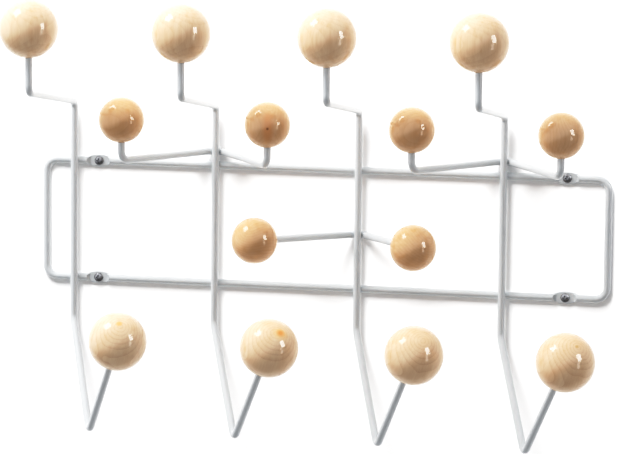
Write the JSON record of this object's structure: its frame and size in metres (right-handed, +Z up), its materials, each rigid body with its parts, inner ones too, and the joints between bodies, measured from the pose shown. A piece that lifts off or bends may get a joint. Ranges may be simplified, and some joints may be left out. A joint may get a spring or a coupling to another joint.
{
  "type": "wall coat rack",
  "caption": "Wall-mounted coat rack of bent white wire: a low loop frame, stepped hook wires and V-shaped bow wires that all end in turned wooden balls.",
  "frame": {"origin": "centre of the four wall screws, on the wall plane that the backs of the screw lugs lie on", "axes": "+X along the rack to the right as seen from the room, +Y into the wall, +Z up"},
  "size_m": [0.5016, 0.1868, 0.3749],
  "materials": {
    "wire_coat": "satin powder coat",
    "ball_wood": "clear gloss lacquer",
    "screw_steel": "zinc plated"
  },
  "bodies": {
    "root": {"wall_frame": "wire_coat", "hook_wire_1": "wire_coat", "hook_wire_2": "wire_coat", "hook_wire_3": "wire_coat", "hook_wire_4": "wire_coat", "upper_bow_wire_left": "wire_coat", "upper_bow_wire_right": "wire_coat", "middle_bow_wire": "wire_coat", "top_ball_1": "ball_wood", "top_ball_2": "ball_wood", "top_ball_3": "ball_wood", "top_ball_4": "ball_wood", "lower_ball_1": "ball_wood", "lower_ball_2": "ball_wood", "lower_ball_3": "ball_wood", "lower_ball_4": "ball_wood", "upper_bow_ball_1": "ball_wood", "upper_bow_ball_2": "ball_wood", "upper_bow_ball_3": "ball_wood", "upper_bow_ball_4": "ball_wood", "middle_bow_ball_left": "ball_wood", "middle_bow_ball_right": "ball_wood", "wall_screws": "screw_steel"}
  },
  "joints": []
}
